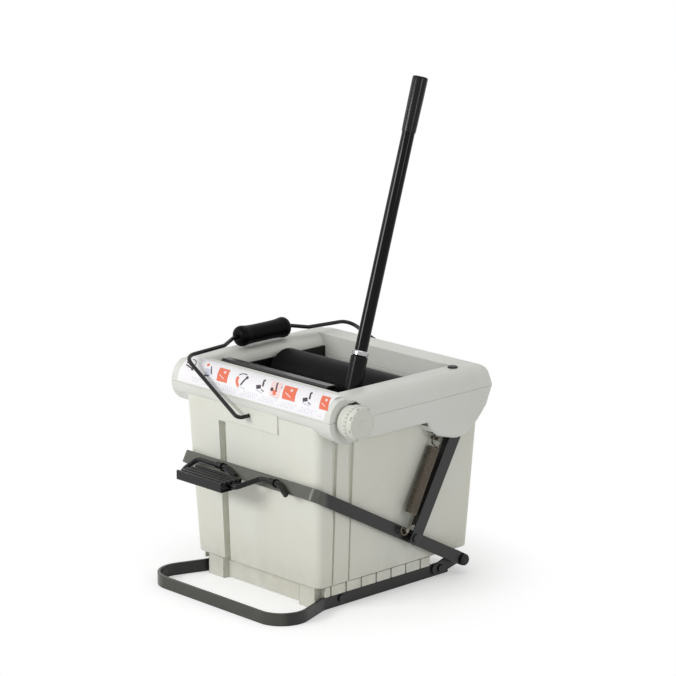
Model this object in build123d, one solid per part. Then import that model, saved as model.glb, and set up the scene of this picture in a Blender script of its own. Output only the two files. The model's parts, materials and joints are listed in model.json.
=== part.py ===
from build123d import *
import math
import os

# Foot-press mop wringer: a tapered bucket under a hollow rim, a pair of wringing rollers
# driven through a ratchet by a foot pedal, a detachable hand lever, a floor frame and a bail.
# Millimetres. X runs across the machine, Y from front to back, Z up from the floor.
# Everything is laid out about the bucket's mid-plane and moved sideways at the end,
# so that the origin lies under the middle of the overall box.

# Rim
RIM_HALF = 180.0
RIM_TOP_HALF = 178.5
RIM_FOOT_HALF = 166.0
RIM_REAR = 196.5
RIM_TOP_REAR = 185.0
RIM_FOLD = 20.0
RIM_FOOT_ROUND = 6.0
RIM_FOOT_Z = 256.0
PARTING_Z = 294.0
RIM_TOP_Z = 325.0
RIM_WALL = 2.6
RIM_CORNER = 22.0
MOUTH_HALF = 136.0
MOUTH_FRONT = -90.0
MOUTH_REAR = 138.5
MOUTH_WALL = 3.0
MOUTH_ROLL = 19.0
BEAM_Y = -107.1
BEAM_R = 33.8
BEAM_HALF = 171.6
EAR_OUT = 168.5
EAR_EDGE = [(62.0, 258.0), (70.0, 244.0), (84.0, 232.5), (104.0, 226.0)]
EAR_EDGE += [(126.0, 221.5), (146.0, 226.0), (167.0, 240.0), (184.0, 258.0)]
EAR_ROUND = 8.0
EAR_WALL = 2.5

# Bucket
BUCKET_LOW = (134.0, -127.1, 183.8)
BUCKET_HIGH = (145.4, -138.4, 198.0)
BUCKET_LOW_Z, BUCKET_HIGH_Z = 36.0, 283.0
BUCKET_WALL = 3.0
BUCKET_CORNER = 13.0
CHANNEL_X0, CHANNEL_LOW_X1, CHANNEL_X1 = -70.0, -57.0, -55.0
CHANNEL_TOP_Z = 252.0
CHANNEL_DEPTH = 11.0
SKIRT_HALF, SKIRT_FRONT, SKIRT_REAR = 124.0, -109.0, 112.5
LEG_X0, LEG_X1, LEG_FRONT = 82.0, 118.0, -118.5
GROOVE_Y = (-98.5, -66.0)
APRON_FOOT_Z, APRON_FRONT, APRON_REAR = 20.5, -113.0, 102.0
SLOT_Y0, SLOT_PITCH, SLOT_COUNT, SLOT_W = -101.5, 30.6, 7, 2.5

# Flat bar of the floor frame and of the pedal arm
BAR_T, BAR_W = 4.5, 19.0
FRAME_HALF = 128.6
FRAME_FRONT = -216.0
FRAME_END = 146.0

# Pedal arm: pivot, middle of the front face, width
PIVOT_Y, PIVOT_Z = 160.0, 21.0
FACE_Y, FACE_Z = -145.0, 185.0
ARM_OUT = 147.0
AXLE_R = 5.0

# Linkage: distances along the arm, crank centre and pins
LINK_ALONG = 127.0
STUD_ALONG, STUD_UP = 152.0, 5.5
DRUM_Y, DRUM_Z, DRUM_R = 47.5, 284.0, 36.0
CRANK_PIN = (146.0, 251.0)
ANCHOR = (94.0, 224.0)
LINK_X = 155.5
CRANK_X = 158.4
SPRING_X = 153.0

# Hand lever
LEVER_X, LEVER_Y, LEVER_Z = 114.0, -57.5, 262.0
LEVER_LEAN = 17.07
LEVER_R = 9.5
SOCKET_TOP = 106.0
SOCKET_R = 12.6
LEVER_TOP = 519.0
GRIP_FROM = 436.0

# Pressure roller
PRESS_ARM = 85.0
PRESS_ANGLE = 47.3
PRESS_R = 20.0
PLATE_X0, PLATE_X1 = 133.0, 136.0
PLATE_FOOT_Z, PLATE_TOP_Z = 274.0, 307.0
GUIDE_TOP_Z = 323.8

# Dial
KNOB_X0, KNOB_X1, KNOB_R = 175.5, 204.7, 26.0
DIAL_SHAFT_R = 7.0

# Bail
BAIL_Z = 273.0
BAIL_RISE = 24.3
BAIL_R = 3.0
BAIL_MID = 27.25

# Folding pedal
EYELET_X = (-52.5, 62.0)
PEDAL_OFF = 6.2
WIRE_R = 4.0
PAD_X0, PAD_X1 = -92.0, 6.5
PAD_Y, PAD_Z = -181.0, 176.0

# Running clearance of a pin in its hole
RUN = 0.06

MID_X = -(KNOB_X1 - RIM_HALF) / 2
ARM_TILT = math.atan2(FACE_Z - PIVOT_Z, PIVOT_Y - FACE_Y)
ARM_LENGTH = math.hypot(FACE_Z - PIVOT_Z, PIVOT_Y - FACE_Y)
ALONG = (-math.cos(ARM_TILT), math.sin(ARM_TILT))
ACROSS = (math.sin(ARM_TILT), math.cos(ARM_TILT))


def on_arm(along, up=0.0):
    y = PIVOT_Y + along * ALONG[0] + up * ACROSS[0]
    z = PIVOT_Z + along * ALONG[1] + up * ACROSS[1]
    return y, z


def x_rod(radius, x0, x1, y, z):
    rod = Cylinder(radius, x1 - x0, align=(Align.CENTER, Align.CENTER, Align.MIN))
    return Pos(x0, y, z) * Rot(0, 90, 0) * rod


def x_tube(outer, inner, x0, x1, y, z):
    return x_rod(outer, x0, x1, y, z) - x_rod(inner, x0 - 1, x1 + 1, y, z)


def block(x0, x1, y0, y1, z0, z1):
    centre = Pos((x0 + x1) / 2, (y0 + y1) / 2, (z0 + z1) / 2)
    return centre * Box(x1 - x0, y1 - y0, z1 - z0)


def x_plate(sketch, x0, x1):
    return extrude(Plane.YZ.offset(x0) * sketch, amount=x1 - x0, dir=(1, 0, 0))


def outline(points):
    return make_face(Polyline(*points, close=True))


def lobes(*circles):
    discs = [Pos(y, z) * Circle(r) for y, z, r in circles]
    return make_hull([edge for disc in discs for edge in disc.edges()])


def both_sides(solid):
    return solid + mirror(solid, about=Plane.YZ)


def tapered(low, high, z0, z1, corner, inset=0.0):
    sections = []
    for (half, front, rear), z in ((low, z0), (high, z1)):
        width = 2 * (half - inset)
        depth = rear - front - 2 * inset
        profile = RectangleRounded(width, depth, corner - inset)
        sections.append(Pos(0, (front + rear) / 2, z) * profile)
    return loft(sections, ruled=True)


def bucket_front(z):
    share = (z - BUCKET_LOW_Z) / (BUCKET_HIGH_Z - BUCKET_LOW_Z)
    return BUCKET_LOW[1] + share * (BUCKET_HIGH[1] - BUCKET_LOW[1])


def bucket_half(z):
    share = (z - BUCKET_LOW_Z) / (BUCKET_HIGH_Z - BUCKET_LOW_Z)
    return BUCKET_LOW[0] + share * (BUCKET_HIGH[0] - BUCKET_LOW[0])


# Upright channel in the front wall; grown by the wall it becomes a rib inside the bucket
def front_channel(grow):
    sections = []
    for z, x1 in ((20.0, CHANNEL_LOW_X1), (CHANNEL_TOP_Z + grow, CHANNEL_X1)):
        front, back = -170.0, bucket_front(z) + CHANNEL_DEPTH + grow
        wide = x1 - CHANNEL_X0 + 2 * grow
        middle = Pos((CHANNEL_X0 + x1) / 2, (front + back) / 2, z)
        sections.append(middle * Rectangle(wide, back - front))
    return loft(sections, ruled=True)


# A groove in the side wall: a thin line low down, flaring forward and deepening above
def side_groove(y, grow):
    stations = [(30.0, 2.5, 3.0), (135.0, 3.0, 4.0), (160.0, 7.0, 5.5), (225.0, 9.5, 6.0), (262.0, 11.0, 3.4)]
    sections = []
    for z, width, depth in stations:
        deep = depth + grow
        middle = bucket_half(z) + 10 - (deep + 10) / 2
        sections.append(Pos(middle, y - width / 2, z) * Rectangle(deep + 10, width + 2 * grow))
    return loft(sections, ruled=True)


# Low side walls above the floor bar, slotted, with ribs back to the skirt
def make_apron():
    half = bucket_half(APRON_FOOT_Z)
    apron = block(half - 3.2, half, APRON_FRONT, APRON_REAR, APRON_FOOT_Z, BUCKET_LOW_Z + 1)
    for index in range(SLOT_COUNT):
        y = SLOT_Y0 + index * SLOT_PITCH
        apron -= block(half - 4, half + 1, y - SLOT_W / 2, y + SLOT_W / 2, 0, BUCKET_LOW_Z)
        rib = y + SLOT_PITCH / 2
        if rib < APRON_REAR:
            apron += block(SKIRT_HALF - 1, half - 1, rib - 1.3, rib + 1.3, APRON_FOOT_Z, BUCKET_LOW_Z + 1)
    return both_sides(apron)


def make_bucket():
    shell = tapered(BUCKET_LOW, BUCKET_HIGH, BUCKET_LOW_Z, BUCKET_HIGH_Z, BUCKET_CORNER)
    floor_z = BUCKET_LOW_Z + BUCKET_WALL
    cavity = tapered(BUCKET_LOW, BUCKET_HIGH, floor_z, BUCKET_HIGH_Z + 0.2, BUCKET_CORNER, BUCKET_WALL)
    cavity -= front_channel(BUCKET_WALL)
    shell -= front_channel(0)
    for y in GROOVE_Y:
        cavity -= both_sides(side_groove(y, BUCKET_WALL))
        shell -= both_sides(side_groove(y, 0))
    shell -= cavity
    # Raised boss on the front for the bail's pivot
    shell += block(CHANNEL_X1, 61, bucket_front(270) - 2.2, bucket_front(270) + 1.5, 256, 284)
    shell -= Pos(0, -130, BAIL_Z) * Rot(90, 0, 0) * Cylinder(BAIL_R + RUN, 40)
    # The wall stands up to the front beam and stops under the rest of the rim
    shell -= block(-200, 200, BEAM_Y, 260, RIM_FOOT_Z, 300)
    shell -= x_rod(BEAM_R, -200, 200, BEAM_Y, PARTING_Z)
    middle = (SKIRT_FRONT + SKIRT_REAR) / 2
    depth = SKIRT_REAR - SKIRT_FRONT
    ring = RectangleRounded(2 * SKIRT_HALF, depth, 12)
    ring -= RectangleRounded(2 * SKIRT_HALF - 6, depth - 6, 9)
    shell += Pos(0, middle, 1) * extrude(ring, BUCKET_LOW_Z)
    leg = block(LEG_X0, LEG_X1, LEG_FRONT, SKIRT_FRONT + 2, 0, BUCKET_LOW_Z + 1)
    leg = fillet(leg.edges().filter_by(Axis.Z).group_by(Axis.Y)[0], 2.0)
    shell += both_sides(leg)
    shell += make_apron()
    for side in (-1, 1):
        shell -= x_rod(2.5, *sorted((side * 130, side * 150)), *ANCHOR)
        shell -= x_rod(3.0, *sorted((side * 118, side * 126)), -77, 11)
    return shell


# One half of the rim between two heights, with the half-round beam along the front
def rim_block(low, high, z0, z1, inset, foot=0.0, fold=0.0):
    body = tapered(low, high, z0, z1, RIM_CORNER, inset)
    if foot:
        body = fillet(body.edges().group_by(Axis.Z)[0], foot)
    if fold:
        body = fillet(body.edges().group_by(Axis.Z)[-1], fold)
    body -= block(-300, 300, -400, BEAM_Y + inset, 0, 500)
    drum = x_rod(BEAM_R - inset, -BEAM_HALF + inset, BEAM_HALF - inset, BEAM_Y, PARTING_Z)
    drum &= block(-300, 300, -300, BEAM_Y + inset + 0.5, z0, z1)
    return body + drum


def mouth(grow):
    return block(-MOUTH_HALF - grow, MOUTH_HALF + grow, MOUTH_FRONT - grow, MOUTH_REAR + grow, 200, 400)


def dial_pocket():
    pocket = x_rod(KNOB_R + 3.4, BEAM_HALF, 230, BEAM_Y, PARTING_Z)
    return pocket + x_rod(DIAL_SHAFT_R + RUN, 150, 230, BEAM_Y, PARTING_Z)


# Lobe over the links: its curved lower edge, closed inside the rim
def ear_face(inset):
    points = []
    for index, (y, z) in enumerate(EAR_EDGE):
        before = EAR_EDGE[max(index - 1, 0)]
        after = EAR_EDGE[min(index + 1, len(EAR_EDGE) - 1)]
        run, rise = after[0] - before[0], after[1] - before[1]
        share = inset / math.hypot(run, rise)
        points.append((y - rise * share, z + run * share))
    roof = Polyline(points[-1], (points[-1][0] + 2, 270), (points[0][0] - 2, 270), points[0])
    return make_face([Spline(*points), *roof.edges()])


def ear_body(inset):
    ear = x_plate(ear_face(inset), 120, EAR_OUT - inset)
    low_edge = ear.faces().sort_by(Axis.X)[-1].edges().sort_by(SortBy.LENGTH)[-1]
    return fillet(low_edge, EAR_ROUND - inset)


def make_ear():
    ear = ear_body(0.0) - ear_body(EAR_WALL)
    return ear - tapered(BUCKET_LOW, BUCKET_HIGH, BUCKET_LOW_Z, BUCKET_HIGH_Z, BUCKET_CORNER, -0.2)


def make_rim_lower():
    low = (RIM_FOOT_HALF, -300.0, RIM_REAR)
    high = (RIM_HALF, -300.0, RIM_REAR)
    rim = rim_block(low, high, RIM_FOOT_Z, PARTING_Z, 0, foot=RIM_FOOT_ROUND) - mouth(0)
    inner = rim_block(low, high, RIM_FOOT_Z, PARTING_Z + 0.01, RIM_WALL) - mouth(MOUTH_WALL)
    inner -= block(-300, 300, -300, 300, 0, RIM_FOOT_Z + RIM_WALL)
    # Ears over the links, open below and into the beam above
    rim += both_sides(make_ear())
    rim -= inner
    near = bucket_half(RIM_FOOT_Z) + 0.8
    rim -= both_sides(block(near, CRANK_X + 5.0, 60, 160, 250, 262))
    rim -= both_sides(block(near, CRANK_X + 5.0, 74, 157, 200, 252))
    rim -= x_rod(11.0, -150, 150, DRUM_Y, DRUM_Z)
    rim -= dial_pocket()
    rim -= Pos(0, 0, BAIL_Z) * Rot(90, 0, 0) * Cylinder(BAIL_R + RUN, 600)
    for y, z in SCREW_SPOTS:
        rim -= x_rod(2.4, -141, 141, y, z)
    for x, y in RIM_SCREWS:
        rim -= Pos(x, y, RIM_FOOT_Z) * Cylinder(2.0, 10)
    return rim


# Large round over the left edge of the mouth
def mouth_roll(radius, grow):
    x = -MOUTH_HALF - MOUTH_ROLL
    z = RIM_TOP_Z - MOUTH_ROLL
    corner = block(x, -MOUTH_HALF + 5, MOUTH_FRONT - grow, MOUTH_REAR + grow, z, RIM_TOP_Z + 5)
    return corner - Pos(x, 0, z) * Rot(90, 0, 0) * Cylinder(radius, 600)


# Square-shouldered ledge along the left side, where the bail lies
def make_ledge():
    inner = -MOUTH_HALF - MOUTH_ROLL - 3
    ledge = block(-RIM_TOP_HALF - 0.5, inner, BEAM_Y, RIM_TOP_REAR - 14, 300, RIM_TOP_Z)
    ledge = fillet(ledge.edges().filter_by(Axis.Z).group_by(Axis.Y)[-1].sort_by(Axis.X)[0], 14.0)
    tops = ledge.edges().group_by(Axis.Z)[-1]
    return fillet(tops.filter_by(Axis.Y).sort_by(Axis.X)[0], 5.0)


def make_rim_upper():
    low = (RIM_HALF, -300.0, RIM_REAR)
    high = (RIM_TOP_HALF, -300.0, RIM_TOP_REAR)
    rim = rim_block(low, high, PARTING_Z, RIM_TOP_Z, 0, fold=RIM_FOLD) + make_ledge()
    rim -= mouth(0)
    rim -= mouth_roll(MOUTH_ROLL, 0)
    roof = RIM_TOP_Z - RIM_WALL
    inner = rim_block(low, high, PARTING_Z - 0.01, roof, RIM_WALL, fold=RIM_FOLD - RIM_WALL)
    inner -= mouth(MOUTH_WALL)
    inner -= mouth_roll(MOUTH_ROLL - MOUTH_WALL, MOUTH_WALL)
    rim -= inner
    rim -= x_rod(11.0, -150, 150, DRUM_Y, DRUM_Z)
    rim -= dial_pocket()
    rim -= Pos(PLUG[0], PLUG[1], RIM_TOP_Z) * Cylinder(6.0, 20)
    return rim


PLUG = (149.0, 130.5)
SCREW_SPOTS = [(-66.0, 270.0), (-40.0, 272.0), (30.0, 270.0), (66.0, 270.0)]
RIM_SCREWS = [(side * 154.0, y) for side in (-1, 1) for y in (-85.0, -25.0, 36.0)]


def make_rim_plug():
    stem = Cylinder(6.0, RIM_WALL + 2, align=(Align.CENTER, Align.CENTER, Align.MAX))
    head = Cylinder(7.6, 2.6, align=(Align.CENTER, Align.CENTER, Align.MIN))
    head = fillet(head.edges().group_by(Axis.Z)[-1], 2.0)
    return Pos(PLUG[0], PLUG[1], RIM_TOP_Z) * (head + stem)


def make_rim_screws():
    screws = []
    for x, y in RIM_SCREWS:
        head = Cylinder(4.2, 2.2, align=(Align.CENTER, Align.CENTER, Align.MAX))
        head = fillet(head.edges().group_by(Axis.Z)[0], 1.0)
        shank = Cylinder(2.0, 6, align=(Align.CENTER, Align.CENTER, Align.MIN))
        screws.append(Pos(x, y, RIM_FOOT_Z) * (head + shank))
    return Part() + screws


def make_floor_frame():
    inset = BAR_T / 2
    side = FRAME_HALF - inset
    front = FRAME_FRONT + inset
    corner = [(side + 36.6, front), (side, -111.5), (side, FRAME_END)]
    points = [(-x, y) for x, y in reversed(corner)] + corner
    path = FilletPolyline(*[(x, y, BAR_W / 2) for x, y in points], radius=[34, 40, 40, 34])
    section = Plane(origin=path @ 0, x_dir=(1, 0, 0), z_dir=path % 0) * Rectangle(BAR_T, BAR_W)
    bar = sweep(section, path=path)
    for y in (-77.0, 126.5):
        bar -= x_rod(3.0, -140, 140, y, 11)
    return bar


def make_frame_bolts():
    bolts = []
    for y, seat in ((-77.0, FRAME_HALF), (126.5, FRAME_HALF + 3.0)):
        head = x_rod(6.0, seat, seat + 3.2, y, 11)
        head = fillet(head.edges().group_by(Axis.X)[-1], 1.4)
        bolt = head + x_rod(3.0, 119, seat + 1, y, 11)
        bolts += [bolt, mirror(bolt, about=Plane.YZ)]
    return Part() + bolts


def make_pivot_bracket():
    plate = lobes((118.0, 11.0, 8.5), (126.5, 11.0, 8.5), (PIVOT_Y, PIVOT_Z, 11.0))
    plate -= Pos(126.5, 11.0) * Circle(3.0)
    plate -= Pos(PIVOT_Y, PIVOT_Z) * Circle(AXLE_R)
    return x_plate(plate, FRAME_HALF, FRAME_HALF + 3.0)


def make_axle_spacers():
    return both_sides(x_tube(8.0, AXLE_R, FRAME_HALF + 3.0, ARM_OUT - BAR_T - 0.4, PIVOT_Y, PIVOT_Z))


def make_axle_caps():
    cap = x_rod(9.0, ARM_OUT + 0.4, ARM_OUT + 5.4, PIVOT_Y, PIVOT_Z)
    cap = chamfer(cap.edges().group_by(Axis.X)[-1], 2.2)
    cap -= x_rod(AXLE_R, 100, ARM_OUT + 3.4, PIVOT_Y, PIVOT_Z)
    return both_sides(cap)


def make_pedal_arm():
    plane = Plane(origin=(0, PIVOT_Y, PIVOT_Z), x_dir=(1, 0, 0), z_dir=(0, ACROSS[0], ACROSS[1]))
    inner = ARM_OUT - BAR_T
    outer_u = Pos(0, -ARM_LENGTH / 2) * RectangleRounded(2 * ARM_OUT, ARM_LENGTH, 13)
    outer_u += Pos(0, -20) * Rectangle(2 * ARM_OUT, 40)
    inner_u = Pos(0, -ARM_LENGTH / 2 + BAR_T) * RectangleRounded(2 * inner, ARM_LENGTH, 13 - BAR_T)
    inner_u += Pos(0, -10) * Rectangle(2 * inner, 60)
    arm = plane * extrude(outer_u - inner_u, BAR_W / 2, both=True)
    arm += both_sides(x_rod(BAR_W / 2, inner, ARM_OUT, PIVOT_Y, PIVOT_Z))
    arm -= both_sides(x_rod(AXLE_R + RUN, inner - 1, ARM_OUT + 1, PIVOT_Y, PIVOT_Z))
    arm -= both_sides(x_rod(4.0, inner - 1, ARM_OUT + 1, *on_arm(LINK_ALONG)))
    arm -= both_sides(x_rod(2.5, inner - 1, ARM_OUT + 1, *on_arm(STUD_ALONG, STUD_UP)))
    return arm


def make_link_pins():
    y, z = on_arm(LINK_ALONG)
    head = x_rod(7.0, LINK_X + 2.4, LINK_X + 5.0, y, z)
    head = fillet(head.edges().group_by(Axis.X)[-1], 1.8)
    pin = head + x_rod(4.0, ARM_OUT - BAR_T, LINK_X + 3, y, z)
    return both_sides(pin)


def make_arm_studs():
    y, z = on_arm(STUD_ALONG, STUD_UP)
    stud = x_rod(2.5, ARM_OUT - BAR_T, SPRING_X + 6, y, z)
    return both_sides(stud + x_rod(3.6, SPRING_X + 4.5, SPRING_X + 6, y, z))


def make_anchor_studs():
    y, z = ANCHOR
    stud = x_rod(2.5, 134, SPRING_X + 6, y, z)
    stud += x_rod(3.6, SPRING_X + 4.5, SPRING_X + 6, y, z)
    return both_sides(stud)


# Channel-section link from the arm up to the crank
def make_link():
    y0, z0 = on_arm(LINK_ALONG)
    length = math.hypot(CRANK_PIN[0] - y0, CRANK_PIN[1] - z0)
    way = ((CRANK_PIN[0] - y0) / length, (CRANK_PIN[1] - z0) / length)
    plane = Plane(origin=(LINK_X, y0, z0), x_dir=(0, way[0], way[1]), z_dir=(1, 0, 0))
    web = Pos(length / 2, 0) * SlotCenterToCenter(length, 22)
    web -= Circle(4.0 + RUN)
    web -= Pos(length, 0) * Circle(5.4)
    link = extrude(web, 2.0)
    for side in (-1, 1):
        link += Pos(length / 2, side * 10, -3.5) * Box(length - 34, 2, 9)
    return plane * link


def make_crank(pawl):
    plate = lobes((DRUM_Y, DRUM_Z, 10.5), (CRANK_PIN[0], CRANK_PIN[1], 8))
    if pawl:
        plate += lobes((DRUM_Y, DRUM_Z, 10.5), (PAWL[0], PAWL[1], 7))
        plate -= Pos(*PAWL) * Circle(3.0)
    plate -= Pos(DRUM_Y, DRUM_Z) * Circle(6.0)
    plate -= Pos(*CRANK_PIN) * Circle(3.2)
    return x_plate(plate, CRANK_X, CRANK_X + 4)


PAWL = (DRUM_Y - 24.0, DRUM_Z - 11.0)
TEETH = 20


def make_crank_pins():
    return both_sides(x_rod(3.2, LINK_X - 1.5, CRANK_X + 4, *CRANK_PIN))


def make_ratchet():
    points = []
    for tooth in range(TEETH):
        start = math.radians(360.0 / TEETH * tooth + 7.0)
        back = start + math.radians(3.0)
        points.append((DRUM_Y + 17.0 * math.cos(start), DRUM_Z + 17.0 * math.sin(start)))
        points.append((DRUM_Y + 14.0 * math.cos(back), DRUM_Z + 14.0 * math.sin(back)))
    wheel = outline(points) - Pos(DRUM_Y, DRUM_Z) * Circle(9.5)
    return x_plate(wheel, 141, 147)


# Pawl held just clear of the teeth while the pedal is up
def make_pawl():
    shape = lobes((PAWL[0], PAWL[1], 5.5), (PAWL[0] + 5.4, PAWL[1] + 13.6, 1.2))
    shape -= Pos(*PAWL) * Circle(3.0 + RUN)
    return x_plate(shape, 141.5, 146.5)


def make_pawl_pin():
    return x_rod(3.0, 140.2, CRANK_X + 4, *PAWL)


def make_rocker_shaft():
    return x_rod(6.0, -CRANK_X - 6, CRANK_X + 6, DRUM_Y, DRUM_Z)


def make_drum_core():
    core = x_rod(30.0, -122, 122, DRUM_Y, DRUM_Z)
    core -= x_rod(27.0, -118, 118, DRUM_Y, DRUM_Z)
    core += x_rod(9.5, -140, 148, DRUM_Y, DRUM_Z)
    return core - x_rod(6.0 + RUN, -200, 200, DRUM_Y, DRUM_Z)


def make_drum_sleeve():
    sleeve = x_rod(DRUM_R, -124, 124, DRUM_Y, DRUM_Z)
    sleeve = fillet(sleeve.edges(), 2.0)
    return sleeve - x_rod(30.0, -122, 122, DRUM_Y, DRUM_Z) - x_rod(24.0, -130, 130, DRUM_Y, DRUM_Z)


def make_drum_bushes():
    bush = x_tube(13.0, 9.5 + RUN, 131.0, PLATE_X1, DRUM_Y, DRUM_Z)
    return both_sides(bush)


def make_side_plate():
    plate = lobes((LEVER_Y, LEVER_Z, 17), (DRUM_Y, DRUM_Z - 2, 19), (DRUM_Y + 20, 264, 10))
    front, rear = MOUTH_FRONT + 3.5, MOUTH_REAR - 1.0
    plate += Pos((front + rear) / 2, (PLATE_FOOT_Z + PLATE_TOP_Z) / 2) * Rectangle(
        rear - front, PLATE_TOP_Z - PLATE_FOOT_Z)
    plate -= Pos(LEVER_Y, LEVER_Z) * Circle(7.0 + RUN)
    plate -= Pos(DRUM_Y, DRUM_Z) * Circle(13.0)
    for y, z in SCREW_SPOTS:
        plate -= Pos(y, z) * Circle(2.4)
    return x_plate(plate, PLATE_X0, PLATE_X1)


def make_plate_screws():
    screws = []
    for y, z in SCREW_SPOTS:
        head = x_rod(4.2, PLATE_X0 - 2.6, PLATE_X0, y, z)
        head = fillet(head.edges().group_by(Axis.X)[0], 1.2)
        screw = head + x_rod(2.4, PLATE_X0 - 1, 139, y, z)
        screws += [screw, mirror(screw, about=Plane.YZ)]
    return Part() + screws


# Guide over the front of the slot: a raised strip behind a low step, with a turned-down lip
def make_guide_bar():
    front = MOUTH_FRONT + 0.1
    top = GUIDE_TOP_Z
    points = [(front, 296), (front, top - 14), (front + 12.4, top - 14), (front + 13.9, top - 2.3)]
    points += [(front + 16.4, top), (front + 31.4, top - 1.2), (front + 34.4, top - 4.3)]
    points += [(front + 34.4, top - 24), (front + 31.4, top - 24), (front + 31.4, top - 5.6)]
    points += [(front + 29.9, top - 4.2), (front + 18.1, top - 3.2), (front + 16.7, top - 4.4)]
    points += [(front + 15.3, top - 17), (front + 3, top - 17), (front + 3, 296)]
    return x_plate(outline(points), -PLATE_X0 + 0.2, LEVER_X - 17)


def press_axis():
    turn = math.radians(PRESS_ANGLE)
    return LEVER_Y + PRESS_ARM * math.sin(turn), LEVER_Z - PRESS_ARM * math.cos(turn)


def make_press_shaft():
    return x_rod(7.0, -PLATE_X1 + 0.2, PLATE_X1 - 0.2, LEVER_Y, LEVER_Z)


def make_press_arm():
    axis = press_axis()
    plate = lobes((LEVER_Y, LEVER_Z, 12), (axis[0], axis[1], 11))
    plate -= Pos(LEVER_Y, LEVER_Z) * Circle(7.0)
    plate -= Pos(*axis) * Circle(5.0)
    return x_plate(plate, 119, 123)


def make_press_axle():
    return x_rod(5.0, -126, 126, *press_axis())


def make_press_core():
    return x_tube(16.0, 5.0 + RUN, -117, 117, *press_axis())


def make_press_sleeve():
    sleeve = x_rod(PRESS_R, -118, 118, *press_axis())
    sleeve = fillet(sleeve.edges(), 2.0)
    sleeve -= x_rod(16.0, -117, 117, *press_axis())
    return sleeve - x_rod(13.0, -130, 130, *press_axis())


LEVER = Pos(LEVER_X, LEVER_Y, LEVER_Z) * Rot(-LEVER_LEAN, 0, 0)


def lever_tube(outer, inner, low, high):
    tube = Cylinder(outer, high - low, align=(Align.CENTER, Align.CENTER, Align.MIN))
    if inner:
        tube -= Cylinder(inner, high - low, align=(Align.CENTER, Align.CENTER, Align.MIN))
    return Pos(0, 0, low) * tube


def make_lever_socket():
    post = lever_tube(SOCKET_R, 0, 8, SOCKET_TOP)
    socket = LEVER * chamfer(post.edges().group_by(Axis.Z)[-1], 0.8)
    socket += x_rod(14.0, 101.5, 118.6, LEVER_Y, LEVER_Z)
    socket -= LEVER * lever_tube(LEVER_R + RUN, 0, 58, SOCKET_TOP + 1)
    axis = press_axis()
    socket -= x_plate(lobes((LEVER_Y, LEVER_Z, 12.4), (axis[0], axis[1], 11.4)), 118.6, 140)
    return socket - x_rod(7.0, 90, 140, LEVER_Y, LEVER_Z)


def make_lever_tube():
    return LEVER * lever_tube(LEVER_R, 8.1, 58.5, LEVER_TOP - 6)


def make_lever_collar():
    ring = lever_tube(12.2, LEVER_R, SOCKET_TOP + 0.3, SOCKET_TOP + 8)
    ring = chamfer(ring.edges().filter_by(GeomType.CIRCLE).sort_by(SortBy.RADIUS)[-2:], 1.4)
    return LEVER * ring


def make_lever_grip():
    grip = lever_tube(11.4, 0, GRIP_FROM, LEVER_TOP)
    grip = fillet(grip.edges().group_by(Axis.Z)[-1], 6.0)
    grip = fillet(grip.edges().group_by(Axis.Z)[0], 1.2)
    return LEVER * (grip - lever_tube(LEVER_R, 0, GRIP_FROM - 1, LEVER_TOP - 6))


def make_dial_knob():
    knob = x_rod(KNOB_R, KNOB_X0, KNOB_X1, BEAM_Y, PARTING_Z)
    knob = fillet(knob.edges().group_by(Axis.X)[-1], 3.0)
    flutes = []
    for index in range(30):
        turn = math.radians(12.0 * index)
        y = BEAM_Y + (KNOB_R + 0.7) * math.cos(turn)
        z = PARTING_Z + (KNOB_R + 0.7) * math.sin(turn)
        flutes.append(x_rod(1.8, KNOB_X0 + 5, KNOB_X1 + 1, y, z))
    knob -= flutes
    marks = []
    for index in range(8):
        turn = math.radians(45.0 * index + 22.5)
        y, z = BEAM_Y + 23.2 * math.cos(turn), PARTING_Z + 23.2 * math.sin(turn)
        marks.append(x_rod(1.2, KNOB_X1 - 2.0, KNOB_X1 + 1, y, z))
    knob -= marks
    knob -= x_tube(20.0, 6.5, KNOB_X1 - 3, KNOB_X1 + 1, BEAM_Y, PARTING_Z)
    return knob - x_rod(DIAL_SHAFT_R, KNOB_X0 - 1, KNOB_X1 - 9, BEAM_Y, PARTING_Z)


def make_dial_shaft():
    return x_rod(DIAL_SHAFT_R, 100, KNOB_X1 - 9, BEAM_Y, PARTING_Z)


# Six flats, each further out than the last
def make_stop_cam():
    points = []
    for index in range(7):
        turn = math.radians(60.0 * min(index, 5.999))
        reach = 8.4 + 0.65 * min(index, 6)
        points.append((BEAM_Y + reach * math.cos(turn), PARTING_Z + reach * math.sin(turn)))
    cam = outline(points) - Pos(BEAM_Y, PARTING_Z) * Circle(DIAL_SHAFT_R)
    return x_plate(cam, 104, 112)


def on_bail(reach, along):
    rise = math.radians(BAIL_RISE)
    return -reach * math.cos(rise), along, BAIL_Z + reach * math.sin(rise)


BAIL_HALF, BAIL_HOOK = 185.75, 3.0
BAIL_BENDS = (8, 22, 9, 9, 9, 9, 22, 8)
GRIP_REACH, GRIP_HALF = 171.0, 51.0


# Wire path through points, with its own bend radius at each corner
def bent(points, bends):
    spots = [Vector(*point) for point in points]
    edges = []
    start = spots[0]
    for before, corner, after, radius in zip(spots, spots[1:], spots[2:], bends):
        back, on = (before - corner).normalized(), (after - corner).normalized()
        half = math.radians(back.get_angle(on)) / 2
        leave = corner + back * (radius / math.tan(half))
        meet = corner + on * (radius / math.tan(half))
        middle = corner + (back + on).normalized() * (radius / math.sin(half) - radius)
        edges += [Line(start, leave), ThreePointArc(leave, middle, meet)]
        start = meet
    return Wire([*edges, Line(start, spots[-1])])


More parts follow.
